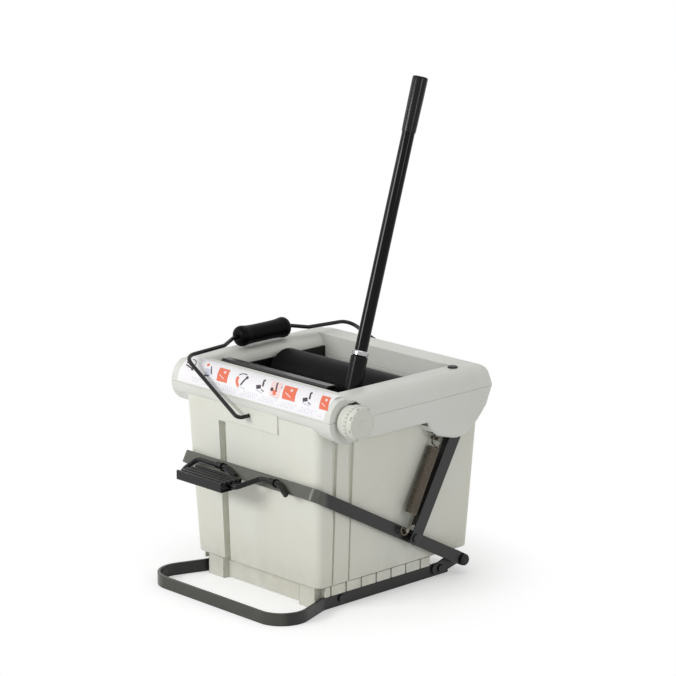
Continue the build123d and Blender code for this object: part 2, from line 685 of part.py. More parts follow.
def make_bail_wire():
    bow = [(GRIP_REACH, GRIP_HALF + 7), (158.6, GRIP_HALF + 35), (153.6, 167.75)]
    front = [(0, 158), (0, BAIL_HALF + BAIL_HOOK), *reversed(bow)]
    rear = [*bow, (0, BAIL_HALF), (0, 158)]
    points = [on_bail(u, BAIL_MID - v) for u, v in front] + [on_bail(u, BAIL_MID + v) for u, v in rear]
    path = bent(points, BAIL_BENDS)
    section = Plane(origin=path @ 0, z_dir=path % 0) * Circle(BAIL_R)
    return sweep(section, path=path)


def make_bail_grip():
    bore = BAIL_R + RUN
    end = GRIP_HALF
    side = Spline((16.0, -end + 9), (14.4, -end + 22), (14.0, 0), (14.4, end - 22), (16.0, end - 9))
    tip = ThreePointArc((16.0, end - 9), (13.6, end - 2.6), (7.5, end))
    foot = ThreePointArc((7.5, -end), (13.6, -end + 2.6), (16.0, -end + 9))
    back = Polyline((7.5, end), (bore, end), (bore, -end), (7.5, -end))
    grip = revolve(make_face([side, tip, *back.edges(), foot]), axis=Axis.Y)
    return Pos(*on_bail(GRIP_REACH, BAIL_MID)) * grip


BAR_FACE = Plane(origin=(0, FACE_Y, FACE_Z), x_dir=(1, 0, 0), z_dir=(0, ALONG[0], ALONG[1]))


def pedal_axis():
    return FACE_Y + PEDAL_OFF * ALONG[0], FACE_Z + PEDAL_OFF * ALONG[1]


def make_pedal_brackets():
    clips = []
    for x in EYELET_X:
        clip = Pos(x, 0, PEDAL_OFF) * Rot(0, 90, 0) * Cylinder(WIRE_R + 2.1, 12)
        clip += Pos(x, 0, PEDAL_OFF / 2) * Box(12, 2 * (WIRE_R + 2.1), PEDAL_OFF)
        clip &= Pos(x, 0, 50) * Box(60, 60, 100)
        clip -= Pos(x, 0, PEDAL_OFF) * Rot(0, 90, 0) * Cylinder(WIRE_R + RUN, 40)
        clips.append(BAR_FACE * clip)
    return Part() + clips


def make_pedal_wire():
    ay, az = pedal_axis()
    left, right = EYELET_X
    points = [(left + 36, ay - 8 * ACROSS[0], az - 8 * ACROSS[1]), (left + 13, ay, az), (PAD_X0 - 11, ay, az)]
    points += [(PAD_X0 - 11, PAD_Y, PAD_Z), (PAD_X1 + 9, PAD_Y, PAD_Z), (right - 24, ay, az)]
    points += [(right + 13, ay, az), (right + 35, ay - 12.5 * ACROSS[0], az - 12.5 * ACROSS[1])]
    path = FilletPolyline(*points, radius=8)
    section = Plane(origin=path @ 0, z_dir=path % 0) * Circle(WIRE_R)
    return sweep(section, path=path)


def make_pedal_pad():
    pad = block(PAD_X0, PAD_X1, PAD_Y - 20, PAD_Y + 20, PAD_Z - 6.5, PAD_Z + 7.5)
    pad = fillet(pad.edges(), 3.0)
    for index in range(6):
        y = PAD_Y - 15 + 6 * index
        pad -= block(PAD_X0 + 5, PAD_X1 - 5, y - 1.2, y + 1.2, PAD_Z + 5.7, PAD_Z + 9)
    return pad - x_rod(WIRE_R + 0.03, PAD_X0 - 1, PAD_X1 + 1, PAD_Y, PAD_Z)


# Tangent-continuous pair of arcs between two points with given directions
def biarc(p0, t0, p1, t1):
    chord = p1 - p0
    both = t0 + t1
    square = 2 * (1 - t0.dot(t1))
    lean = chord.dot(both)
    if square < 1e-6:
        reach = chord.length / 2
    else:
        reach = (math.sqrt(lean * lean + square * chord.dot(chord)) - lean) / square
    middle = (p0 + t0 * reach + p1 - t1 * reach) * 0.5
    way = (p1 - t1 * reach - p0 - t0 * reach).normalized()
    return [TangentArc(p0, middle, tangent=t0), TangentArc(middle, p1, tangent=way)]


SPRING_COIL, SPRING_WIRE, SPRING_TURNS = 8.0, 1.6, 28


# Clear space between neighbouring turns, from points along the wire's centre line
def least_gap(path):
    count = 24 * SPRING_TURNS
    points = [path @ (index / count) for index in range(count + 1)]
    least = 1e9
    for first in range(count):
        for second in range(first + 12, min(count, first + 60) + 1):
            least = min(least, (points[first] - points[second]).length)
    return least - 2 * SPRING_WIRE



# Extension spring between the arm's stud and the anchor stud, hooked round both
def make_return_spring():
    low = Vector(SPRING_X, *on_arm(STUD_ALONG, STUD_UP))
    high = Vector(SPRING_X, *ANCHOR)
    axis = (high - low).normalized()
    length = (high - low).length
    out = Vector(1, 0, 0)
    side = axis.cross(out)

    def place(along, turn):
        spoke = side * math.cos(turn) + out * math.sin(turn)
        return low + axis * along + spoke * SPRING_COIL

    def heading(turn, pitch):
        round_way = (out * math.cos(turn) - side * math.sin(turn)) * SPRING_COIL
        return (round_way + axis * (pitch / (2 * math.pi))).normalized()

    start, stop = 26.0, length - 12.0
    pitch = (stop - start) / SPRING_TURNS
    foot = place(0, 0)
    neck = place(start - 8, 0)
    far = low - axis * SPRING_COIL
    back = place(0, math.pi)
    edges = [Line(back + axis * 3, back), ThreePointArc(back, far, foot), Line(foot, neck)]
    edges += biarc(neck, axis, place(start, math.pi / 2), heading(math.pi / 2, pitch))
    for step in range(2 * SPRING_TURNS):
        a = math.pi / 2 + step * math.pi
        b = a + math.pi
        at = start + step * pitch / 2
        edges += biarc(place(at, a), heading(a, pitch), place(at + pitch / 2, b), heading(b, pitch))
    last = math.pi / 2 + SPRING_TURNS * 2 * math.pi
    rise = place(stop + 8, last + math.pi / 2)
    edges += biarc(place(stop, last), heading(last, pitch), rise, axis)
    top = place(length, last + math.pi / 2)
    over = high + axis * SPRING_COIL
    down = place(length, last - math.pi / 2)
    edges.append(Line(rise, top))
    edges.append(ThreePointArc(top, over, down))
    edges.append(Line(down, down - axis * 3))
    path = Wire(edges)
    print("return spring, least gap between turns", round(least_gap(path), 2))
    section = Plane(origin=back + axis * 3, z_dir=-axis) * Circle(SPRING_WIRE)
    return sweep(section, path=path)


right_link = make_link()
right_crank = make_crank(True)
right_spring = make_return_spring()
right_bracket = make_pivot_bracket()
right_plate = make_side_plate()
right_press_arm = make_press_arm()

pieces = {
    "bucket": make_bucket(),
    "rim_lower": make_rim_lower(),
    "rim_upper": make_rim_upper(),
    "rim_plug": make_rim_plug(),
    "rim_screws": make_rim_screws(),
    "floor_frame": make_floor_frame(),
    "frame_bolts": make_frame_bolts(),
    "pivot_bracket_right": right_bracket,
    "pivot_bracket_left": mirror(right_bracket, about=Plane.YZ),
    "pivot_axle": x_rod(AXLE_R, -ARM_OUT - 3.4, ARM_OUT + 3.4, PIVOT_Y, PIVOT_Z),
    "axle_spacers": make_axle_spacers(),
    "axle_caps": make_axle_caps(),
    "anchor_studs": make_anchor_studs(),
    "side_plate_right": right_plate,
    "side_plate_left": mirror(right_plate, about=Plane.YZ),
    "plate_screws": make_plate_screws(),
    "drum_bushes": make_drum_bushes(),
    "guide_bar": make_guide_bar(),
    "pedal_arm": make_pedal_arm(),
    "link_pins": make_link_pins(),
    "arm_studs": make_arm_studs(),
    "pedal_brackets": make_pedal_brackets(),
    "pedal_wire": make_pedal_wire(),
    "pedal_pad": make_pedal_pad(),
    "link_right": right_link,
    "link_left": mirror(right_link, about=Plane.YZ),
    "rocker_shaft": make_rocker_shaft(),
    "crank_right": right_crank,
    "crank_left": mirror(make_crank(False), about=Plane.YZ),
    "crank_pins": make_crank_pins(),
    "pawl_pin": make_pawl_pin(),
    "pawl": make_pawl(),
    "drum_core": make_drum_core(),
    "drum_sleeve": make_drum_sleeve(),
    "ratchet_wheel": make_ratchet(),
    "press_shaft": make_press_shaft(),
    "press_arm_right": right_press_arm,
    "press_arm_left": mirror(right_press_arm, about=Plane.YZ),
    "press_axle": make_press_axle(),
    "press_core": make_press_core(),
    "press_sleeve": make_press_sleeve(),
    "lever_socket": make_lever_socket(),
    "lever_tube": make_lever_tube(),
    "lever_collar": make_lever_collar(),
    "lever_grip": make_lever_grip(),
    "dial_knob": make_dial_knob(),
    "dial_shaft": make_dial_shaft(),
    "stop_cam": make_stop_cam(),
    "bail_wire": make_bail_wire(),
    "bail_grip": make_bail_grip(),
    "return_spring_right": right_spring,
    "return_spring_left": mirror(right_spring, about=Plane.YZ),
}

os.makedirs("parts", exist_ok=True)
for name, solid in pieces.items():
    export_step(Pos(MID_X, 0, 0) * solid, "parts/" + name + ".step")
    print(name, round(solid.volume), [round(v, 1) for v in solid.bounding_box().size])
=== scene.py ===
import json
import math

import bmesh
import bpy
from mathutils import Matrix, Vector


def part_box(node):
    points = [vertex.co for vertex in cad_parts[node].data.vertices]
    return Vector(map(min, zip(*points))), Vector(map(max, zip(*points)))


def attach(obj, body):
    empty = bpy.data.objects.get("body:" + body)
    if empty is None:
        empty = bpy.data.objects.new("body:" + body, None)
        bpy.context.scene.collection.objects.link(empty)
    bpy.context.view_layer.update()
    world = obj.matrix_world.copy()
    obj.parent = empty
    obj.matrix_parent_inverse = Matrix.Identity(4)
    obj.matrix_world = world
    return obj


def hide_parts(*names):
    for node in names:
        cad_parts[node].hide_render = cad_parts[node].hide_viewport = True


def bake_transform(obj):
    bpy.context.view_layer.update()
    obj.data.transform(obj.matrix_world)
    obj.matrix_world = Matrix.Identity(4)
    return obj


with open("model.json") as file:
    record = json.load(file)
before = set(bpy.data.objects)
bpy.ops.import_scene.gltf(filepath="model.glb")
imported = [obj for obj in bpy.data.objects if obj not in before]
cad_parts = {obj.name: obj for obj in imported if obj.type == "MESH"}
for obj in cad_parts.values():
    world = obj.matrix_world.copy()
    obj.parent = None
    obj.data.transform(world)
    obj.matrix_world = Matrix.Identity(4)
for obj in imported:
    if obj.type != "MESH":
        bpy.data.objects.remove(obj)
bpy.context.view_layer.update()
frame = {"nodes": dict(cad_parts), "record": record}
nodes = frame["nodes"]
record = frame["record"]
scene = bpy.context.scene
print("frame loaded,", len(nodes), "nodes")

mm = 0.001
midX = -12.35  # the bucket's middle plane stands left of the overall middle
bodyOf = {node: body for body, members in record["behaviour"]["bodies"].items() for node in members}
slotOf = {part["node"]: part["material_slot"] for part in record["subparts"]}


def at(x, y, z):  # millimetres from the bucket's middle plane, to metres in the shared frame
    return Vector((x + midX, y, z)) * mm


def middle(node):
    low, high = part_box(node)
    return (Vector(low) + Vector(high)) / 2


def shade(red, green, blue):  # a colour as read on screen, 0 to 255, to linear light
    lit = []
    for value in (red, green, blue):
        share = value / 255
        lit.append(share / 12.92 if share < 0.04045 else ((share + 0.055) / 1.055) ** 2.4)
    return (*lit, 1.0)


# millimetres and degrees
camera = {"target": (-12.35, 38.85, 358.97), "turn": 46.43, "rise": 13.75, "away": 4236.57,
          "sensor": 36, "lens": 151.68, "clipMetres": 100}


def setCamera():
    turn, rise = math.radians(camera["turn"]), math.radians(camera["rise"])
    back = Vector((math.sin(turn) * math.cos(rise), -math.cos(turn) * math.cos(rise), math.sin(rise)))
    data = bpy.data.cameras.new("photoCamera")
    data.sensor_width = camera["sensor"]
    data.lens = camera["lens"]
    data.clip_end = camera["clipMetres"]
    eye = bpy.data.objects.new("photoCamera", data)
    scene.collection.objects.link(eye)
    eye.location = (Vector(camera["target"]) + back * camera["away"]) * mm
    eye.rotation_euler = back.to_track_quat("Z", "Y").to_euler()
    scene.camera = eye


setCamera()
print("camera set")


class Signal:  # one shader socket; sums with it add Math nodes
    def __init__(self, graph, socket):
        self.graph, self.socket = graph, socket

    def work(self, operation, first, second):
        return self.graph.add("Math", {"operation": operation}, {0: first, 1: second})

    def __add__(self, other):
        return self.work("ADD", self, other)

    def __radd__(self, other):
        return self.work("ADD", other, self)

    def __sub__(self, other):
        return self.work("SUBTRACT", self, other)

    def __rsub__(self, other):
        return self.work("SUBTRACT", other, self)

    def __mul__(self, other):
        return self.work("MULTIPLY", self, other)

    def __rmul__(self, other):
        return self.work("MULTIPLY", other, self)


class Graph:  # a node tree, with one way to add a node
    def __init__(self, tree):
        self.tree = tree

    def add(self, kind, settings=None, inputs=None, output=0):
        node = self.tree.nodes.new("ShaderNode" + kind)
        for key, value in (settings or {}).items():
            setattr(node, key, value)
        for key, value in (inputs or {}).items():
            self.feed(node.inputs[key], value)
        return Signal(self, node.outputs[output])

    def feed(self, socket, value):
        if isinstance(value, Signal):
            self.tree.links.new(value.socket, socket)
        else:
            socket.default_value = value

    def band(self, value, low, high):  # 0 below low, 1 above high
        return self.add("MapRange", {"interpolation_type": "SMOOTHSTEP"},
                        {"Value": value, "From Min": low, "From Max": high})

    def seen(self):  # 1 for rays that show the backdrop: camera, mirror and glass
        sight = self.add("LightPath", output="Is Camera Ray") + self.add("LightPath", output="Is Glossy Ray")
        return sight + self.add("LightPath", output="Is Transmission Ray")


class Finish(Graph):  # a surface: its own patterns end in one Principled shader
    edgeSamples, edgeRange, softSamples = 4, (0.02, 0.16), 6

    def __init__(self, name, fixed, soften=0.0):
        self.material = bpy.data.materials.new(name)
        self.material.use_nodes = True
        super().__init__(self.material.node_tree)
        self.shader = self.tree.nodes["Principled BSDF"]
        self.soften = soften
        for key, value in fixed.items():
            self.shader.inputs[key].default_value = value
        self.place = self.add("TexCoord", output="Object")

    def noise(self, scale, detail=2.0, roughness=0.5, stretch=(1, 1, 1)):
        where = self.add("Mapping", inputs={"Vector": self.place, "Scale": stretch})
        return self.add("TexNoise", inputs={"Vector": where, "Scale": scale, "Detail": detail,
                                            "Roughness": roughness})

    def patches(self, layer, edge):  # where a noise layer sets in
        return self.band(self.noise(*layer), *edge)

    def cells(self, scale):
        return self.add("TexVoronoi", inputs={"Vector": self.place, "Scale": scale})

    def mix(self, share, first, second):
        return self.add("Mix", {"data_type": "RGBA"}, {0: share, 6: first, 7: second}, output=2)

    def height(self):  # how high above the floor
        return self.add("SeparateXYZ", inputs={0: self.place}, output="Z")

    def depth(self):  # how far back from the middle
        return self.add("SeparateXYZ", inputs={0: self.place}, output="Y")

    def edges(self, reach):  # near 1 on the corners of a solid
        soft = self.add("Bevel", {"samples": self.edgeSamples}, {"Radius": reach})
        hard = self.add("NewGeometry", output="Normal")
        same = self.add("VectorMath", {"operation": "DOT_PRODUCT"}, {0: soft, 1: hard}, output="Value")
        return self.band(1 - same, *self.edgeRange)

    def bump(self, height, depth, strength=1.0):
        inputs = {"Height": height, "Distance": depth, "Strength": strength}
        if self.soften:
            inputs["Normal"] = self.add("Bevel", {"samples": self.softSamples}, {"Radius": self.soften})
        self.feed(self.shader.inputs["Normal"], self.add("Bump", inputs=inputs))

    def set(self, key, value):
        self.feed(self.shader.inputs[key], value)


# a noise layer gives scale, detail, roughness and stretch
# where a pair follows it, the layer sets in between those two values
# soften, reach, fade and deep are in metres
plastic = {
    "fixed": {"IOR": 1.49, "Specular IOR Level": 0.4}, "soften": 0.0009,
    "clouds": ((5.5, 3.0, 0.55), (0.3, 0.72)),
    "flow": ((26.0, 2.0, 0.5, (1.0, 1.0, 0.18)), (0.55, 0.8)),
    "flowShare": 0.14, "flowTone": shade(202, 202, 192),
    "grime": ((38.0, 4.0, 0.65), (0.35, 0.7)), "grimeHeight": (0.02, 0.085),
    "grimeShare": 0.2, "grimeTone": shade(154, 152, 138),
    "speckScale": 620.0, "speckSize": (0.035, 0.06), "speckArea": ((9.0,), (0.5, 0.62)),
    "speckShare": 0.25, "speckTone": shade(164, 162, 152),
    "sheen": (14.0, 3.0), "sheenShare": 0.1,
    "scuffs": ((60.0, 5.0, 0.7, (1.0, 1.0, 3.0)), (0.6, 0.72)), "scuffShare": 0.07,
    "grain": (1500.0, 2.0, 0.6), "coarse": (420.0, 2.0, 0.5), "coarseShare": 0.5,
    "deep": 0.00006, "strength": 0.5,
}


def mouldedPlastic(name, pale, warm, rough):
    look = plastic
    f = Finish(name, look["fixed"], look["soften"])
    body = f.mix(f.patches(*look["clouds"]), pale, warm)
    flow = f.patches(*look["flow"])  # streaks left by the melt running up the wall
    streaked = f.mix(flow * look["flowShare"], body, look["flowTone"])
    grime = (1 - f.band(f.height(), *look["grimeHeight"])) * f.patches(*look["grime"])
    dirty = f.mix(grime * look["grimeShare"], streaked, look["grimeTone"])
    specks = (1 - f.band(f.cells(look["speckScale"]), *look["speckSize"])) * f.patches(*look["speckArea"])
    f.set("Base Color", f.mix(specks * look["speckShare"], dirty, look["speckTone"]))
    sheen = rough + look["sheenShare"] * f.noise(*look["sheen"])
    f.set("Roughness", sheen + look["scuffShare"] * f.patches(*look["scuffs"]))
    grain = f.noise(*look["grain"]) + look["coarseShare"] * f.noise(*look["coarse"])
    f.bump(grain, look["deep"], look["strength"])
    return f.material


enamel = {
    "ior": 1.5, "coat": 0.12, "coatRough": 0.25, "soften": 0.0005,
    "clouds": (22.0, 3.0, 0.6), "cloudEdge": (0.35, 0.7), "cloudLift": 1.3, "cloudShare": 0.12,
    "rubbed": ((70.0, 4.0, 0.7), (0.46, 0.68)), "rubReach": 0.0014,
    "bareTone": shade(122, 120, 116), "bareMetal": 0.8,
    "dustAndSheen": ((240.0, 3.0, 0.6), (0.62, 0.8)), "dustShare": 0.1, "dustAndSheenTone": shade(110, 111, 99),
    # the front-sheen noise breaks up painted sheen on the front bars, a paler tone standing in for reflected
    # front light
    "frontSheen": (110.0, 4.0, 0.7), "frontSheenFade": 0.006, "frontSheenLeast": 0.6, "frontSheenMore": 0.8,
    "smears": ((160.0, 4.0), (0.55, 0.75)), "smearShare": 0.1,
    "fine": (700.0, 1.5, 0.4), "swell": (260.0, 1.0, 0.4), "swellShare": 0.6,
}


def paintedSteel(name, dark, level, rough, peel, worn, front=0.0, paintedSheen=0.0):
    look = enamel
    fixed = {"IOR": look["ior"], "Specular IOR Level": level, "Coat Roughness": look["coatRough"]}
    f = Finish(name, fixed, look["soften"])
    clouds = f.noise(*look["clouds"])
    lighter = tuple(value * look["cloudLift"] for value in dark[:3]) + (1.0,)
    tone = f.mix(f.band(clouds, *look["cloudEdge"]), dark, lighter)
    rubbed = f.edges(look["rubReach"]) * f.patches(*look["rubbed"])
    dustAndSheen = f.patches(*look["dustAndSheen"]) * look["dustShare"]
    if paintedSheen:  # painted sheen: paler in front of this depth, standing in for front light reflected off the bars
        frontSheen = 1 - f.band(f.depth(), front - look["frontSheenFade"], front + look["frontSheenFade"])
        dustAndSheen = dustAndSheen + frontSheen * paintedSheen * (look["frontSheenLeast"] + look["frontSheenMore"] * f.noise(*look["frontSheen"]))
    # the base colour mixes in real dust patches and, on the front bars, painted sheen
    f.set("Base Color", f.mix(dustAndSheen, f.mix(rubbed * worn, tone, look["bareTone"]), look["dustAndSheenTone"]))
    f.set("Metallic", rubbed * worn * look["bareMetal"])
    f.set("Roughness", rough + look["cloudShare"] * clouds + look["smearShare"] * f.patches(*look["smears"]))
    f.set("Coat Weight", look["coat"] * (1 - rubbed))
    f.bump(f.noise(*look["fine"]) + look["swellShare"] * f.noise(*look["swell"]), peel)
    return f.material


gloss = {
    "fixed": {"IOR": 1.5, "Specular IOR Level": 0.12, "Coat Roughness": 0.06},
    "clouds": ((18.0, 3.0), (0.4, 0.7)), "cloudTone": shade(14, 14, 15),
    "hairs": ((90.0, 3.0, 0.6, (6.0, 6.0, 0.25)), (0.6, 0.75)), "hairShare": 0.08,
    "smears": (40.0, 2.0), "smearShare": 0.03, "coats": (30.0, 2.0), "coatShare": 0.06,
    "swell": (160.0, 1.0, 0.3), "deep": 0.00001, "strength": 0.3,
}


def glossCoat(name, dark, rough):
    look = gloss
    f = Finish(name, look["fixed"])
    f.set("Base Color", f.mix(f.patches(*look["clouds"]), dark, look["cloudTone"]))
    hairs = look["hairShare"] * f.patches(*look["hairs"])
    f.set("Roughness", rough + hairs + look["smearShare"] * f.noise(*look["smears"]))
    f.set("Coat Weight", look["coatShare"] * f.noise(*look["coats"]))
    f.bump(f.noise(*look["swell"]), look["deep"], look["strength"])
    return f.material


rubber = {
    "ior": 1.5, "soften": 0.0005,
    "bloom": ((17.0, 4.0, 0.6), (0.45, 0.75)), "bloomShare": 0.5, "bloomSheen": 0.05,
    "sheen": (48.0, 3.0), "sheenShare": 0.14,
    "fineScale": 1.7, "fineShare": 0.7, "deep": 0.00006, "strength": 0.5,
}


def softRubber(name, dark, pale, level, pore, rough):
    look = rubber
    f = Finish(name, {"IOR": look["ior"], "Specular IOR Level": level}, look["soften"])
    bloom = f.patches(*look["bloom"])
    f.set("Base Color", f.mix(bloom * look["bloomShare"], dark, pale))
    f.set("Roughness", rough + look["sheenShare"] * f.noise(*look["sheen"]) - look["bloomSheen"] * bloom)
    pores = f.cells(pore) + look["fineShare"] * f.noise(pore * look["fineScale"])
    f.bump(pores, look["deep"], look["strength"])
    return f.material


plated = {
    "fixed": {"Metallic": 1.0},
    "drawn": (300.0, 3.0, 0.6), "drawnShare": 0.18,
    "stains": ((45.0, 4.0, 0.65), (0.5, 0.72)), "stainTone": 0.7, "stainShare": 0.15,
    "deep": 0.00004, "strength": 0.5,
}


def platedSteel(name, bright, dull, rough, stretch=(1, 1, 1)):
    look = plated
    f = Finish(name, look["fixed"])
    drawn = f.noise(*look["drawn"], stretch)
    stains = f.patches(*look["stains"])
    f.set("Base Color", f.mix(stains * look["stainTone"], bright, dull))
    f.set("Roughness", rough + look["drawnShare"] * drawn + look["stainShare"] * stains)
    f.bump(drawn, look["deep"], look["strength"])
    return f.material


film = {
    "fixed": {"IOR": 1.46, "Specular IOR Level": 0.4, "Coat Roughness": 0.2}, "coat": 0.15,
    "rub": ((120.0, 4.0, 0.7, (0.4, 1.0, 1.0)), (0.56, 0.74)), "rubTone": 0.3, "rubShare": 0.16,
    "fade": 0.8, "haze": 0.17,
    "swell": (180.0, 2.0), "deep": 0.00003, "strength": 0.4,
}


def printFilm(name, colour, rough):
    look = film
    f = Finish(name, look["fixed"])
    rub = f.patches(*look["rub"])
    faded = tuple(look["fade"] * value + look["haze"] for value in colour[:3]) + (1.0,)
    f.set("Base Color", f.mix(rub * look["rubTone"], colour, faded))
    f.set("Roughness", rough + look["rubShare"] * rub)
    f.set("Coat Weight", look["coat"] * (1 - rub))
    f.bump(f.noise(*look["swell"]), look["deep"], look["strength"])
    return f.material


# one finish for each material slot; peel and front are in metres
blackPaint = {"dark": shade(26, 25, 25), "level": 0.37, "rough": 0.26, "peel": 0.00004, "worn": 0.4}
finishes = {
    "bucket_plastic": mouldedPlastic("palePlastic", shade(222, 223, 213), shade(219, 218, 205), rough=0.36),
    "dial_plastic": mouldedPlastic("dialPlastic", shade(214, 215, 206), shade(210, 210, 199), rough=0.34),
    "black_plastic": softRubber("blackPlastic", shade(18, 18, 19), shade(34, 32, 31),
                                level=0.3, pore=1400.0, rough=0.36),
    "black_enamel": paintedSteel("blackEnamel", **blackPaint),
    "gloss_black": glossCoat("glossBlack", shade(6, 6, 7), rough=0.05),
    "roller_rubber": softRubber("rollerRubber", shade(10, 10, 11), shade(20, 20, 20),
                                level=0.08, pore=1100.0, rough=0.42),
    "grip_rubber": softRubber("gripRubber", shade(8, 8, 8), shade(17, 17, 17),
                              level=0.16, pore=1600.0, rough=0.38),
    "bright_steel": platedSteel("zincSteel", shade(196, 194, 188), shade(150, 146, 138),
                                rough=0.24, stretch=(1, 1, 6)),
    "bail_steel": paintedSteel("coatedWire", shade(15, 15, 15), level=0.22, rough=0.22, peel=0.00003, worn=0.3),
    "spring_steel": platedSteel("springSteel", shade(106, 98, 87), shade(70, 65, 55), rough=0.1),
    "chrome": platedSteel("chrome", shade(168, 168, 170), shade(136, 136, 136), rough=0.08),
}
# nodes that look a little different from the rest of their slot
rimPlastic = mouldedPlastic("rimPlastic", shade(220, 221, 215), shade(216, 216, 208), rough=0.36)
# painted shade: a darker copy of the black enamel for the side plates and press arms inside the mouth, where
# shade falls
shadedEnamel = paintedSteel("shadedEnamel", shade(14, 14, 15), level=0.22, rough=0.36, peel=0.00004, worn=0.2)
socketCoat = glossCoat("socketCoat", shade(9, 9, 10), rough=0.16)
# painted sheen: the front bars of the arm and the frame are paler in front, standing in for front light
# reflected off them
armEnamel = paintedSteel("armEnamel", **blackPaint, front=-0.124, paintedSheen=0.5)
frameEnamel = paintedSteel("frameEnamel", **blackPaint, front=-0.198, paintedSheen=0.25)
clipCoat = paintedSteel("clipCoat", shade(11, 11, 11), level=0.22, rough=0.22, peel=0.00003, worn=0.25)
studSteel = platedSteel("studSteel", shade(124, 118, 108), shade(84, 80, 72), rough=0.2, stretch=(6, 1, 1))
looks = {
    "bail_grip": softRubber("sleeveRubber", shade(6, 6, 6), shade(14, 14, 14),
                            level=0.07, pore=1800.0, rough=0.34),
    "lever_grip": softRubber("leverRubber", shade(9, 9, 10), shade(20, 20, 20),
                             level=0.22, pore=1000.0, rough=0.14),
    "pedal_pad": softRubber("padRubber", shade(28, 28, 29), shade(40, 40, 40),
                            level=0.28, pore=1600.0, rough=0.32),
    "rim_upper": rimPlastic, "rim_lower": rimPlastic,
    "pedal_arm": armEnamel, "floor_frame": frameEnamel,
    "arm_studs": studSteel, "anchor_studs": studSteel,
    "lever_socket": socketCoat, "pedal_wire": clipCoat, "pedal_brackets": clipCoat,
    "side_plate_right": shadedEnamel, "side_plate_left": shadedEnamel,
    "press_arm_right": shadedEnamel, "press_arm_left": shadedEnamel,
}
for name, node in nodes.items():
    node.data.materials.clear()
    node.data.materials.append(looks.get(name) or finishes[slotOf[name]])
print("finishes on", len(nodes), "nodes")


def keepPiece(name, bm, body, slot, material=None):
    mesh = bpy.data.meshes.new(name)
    bm.to_mesh(mesh)
    bm.free()
    piece = bpy.data.objects.new(name, mesh)
    scene.collection.objects.link(piece)
    mesh.materials.append(material or finishes[slot])
    if body:
        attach(piece, body)
    return piece


def smoothShade(piece, angle):
    mesh = piece.data
    mesh.polygons.foreach_set("use_smooth", [True] * len(mesh.polygons))
    mesh.set_sharp_from_angle(angle=math.radians(angle))
    even = piece.modifiers.new("evenNormals", "WEIGHTED_NORMAL")
    even.keep_sharp = True


# pressed, moulded and rolled pieces: the frame's own solid with its edges eased
# width in mm, and the heights in mm between which edges are eased
everywhere = ((0, 900),)
eased = {
    "bucket": ("bucketShell", 1.0, ((0, 250),)),
    "rim_lower": ("rimLowerShell", 0.9, ((293.9, 294.1),)),
    "rim_upper": ("rimUpperShell", 0.9, ((293.9, 294.1), (324.9, 325.1))),
    "floor_frame": ("floorBar", 0.8, everywhere),
    "pedal_arm": ("pedalBar", 0.8, everywhere),
    "link_right": ("linkChannelRight", 0.5, everywhere),
    "link_left": ("linkChannelLeft", 0.5, everywhere),
    "pivot_bracket_right": ("pivotPlateRight", 0.5, everywhere),
    "pivot_bracket_left": ("pivotPlateLeft", 0.5, everywhere),
    "axle_caps": ("axleCaps", 0.6, everywhere),
    "guide_bar": ("guideStrip", 0.7, everywhere),
    "lever_socket": ("leverSocket", 0.6, everywhere),
    "pedal_brackets": ("pedalClips", 0.5, everywhere),
    "crank_right": ("crankPlateRight", 0.5, everywhere),
    "crank_left": ("crankPlateLeft", 0.5, everywhere),
    "press_arm_right": ("pressPlateRight", 0.5, everywhere),
    "press_arm_left": ("pressPlateLeft", 0.5, everywhere),
    "side_plate_right": ("sidePlateRight", 0.4, everywhere),
    "side_plate_left": ("sidePlateLeft", 0.4, everywhere),
}
# merging distances in metres, angles in degrees, shortest edge in widths
easing = {"merge": 1e-6, "flat": 0.3, "sharp": (38, 150), "shortest": 1.2, "steps": 2,
          "clean": 1e-5, "smooth": 32}


def easeEdges(node, name, width, zones):
    bm = bmesh.new()
    bm.from_mesh(nodes[node].data)
    bmesh.ops.remove_doubles(bm, verts=bm.verts, dist=easing["merge"])
    bmesh.ops.dissolve_limit(bm, angle_limit=math.radians(easing["flat"]), verts=bm.verts, edges=bm.edges)
    bluntest, keenest = (math.radians(angle) for angle in easing["sharp"])

    def inZone(edge):
        return any(all(low <= v.co.z / mm <= high for v in edge.verts) for low, high in zones)

    corners = [e for e in bm.edges if e.is_manifold and inZone(e)
               and e.calc_length() > easing["shortest"] * width * mm
               and bluntest < e.calc_face_angle(0) < keenest]
    bmesh.ops.bevel(bm, geom=corners, offset=width * mm, segments=easing["steps"], profile=0.5,
                    affect="EDGES", clamp_overlap=False, material=-1)
    bmesh.ops.remove_doubles(bm, verts=bm.verts, dist=easing["clean"])
    bmesh.ops.dissolve_degenerate(bm, dist=easing["clean"], edges=bm.edges)
    piece = keepPiece(name, bm, bodyOf[node], slotOf[node], looks.get(node))
    smoothShade(piece, easing["smooth"])
    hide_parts(node)


for node, (name, width, zones) in eased.items():
    easeEdges(node, name, width, zones)
print("edges eased on", len(eased), "pieces")

seamMerge = 2e-6  # metres


def drawLine(bm, points):  # a run of edges through points, for spinning
    run = bmesh.ops.create_vert(bm, co=points[0])["vert"]
    for point in points[1:]:
        made = bmesh.ops.extrude_vert_indiv(bm, verts=[run[-1]])
        made["verts"][0].co = point
        run.append(made["verts"][0])
    return run


def spinRound(bm, points, centre, axis, steps):  # a full turn of a profile
    drawLine(bm, points)
    bmesh.ops.spin(bm, geom=bm.verts[:] + bm.edges[:], cent=centre, axis=axis,
                   angle=math.tau, steps=steps, use_merge=True, use_duplicate=False)
    bmesh.ops.remove_doubles(bm, verts=bm.verts, dist=seamMerge)
    bmesh.ops.recalc_face_normals(bm, faces=bm.faces)


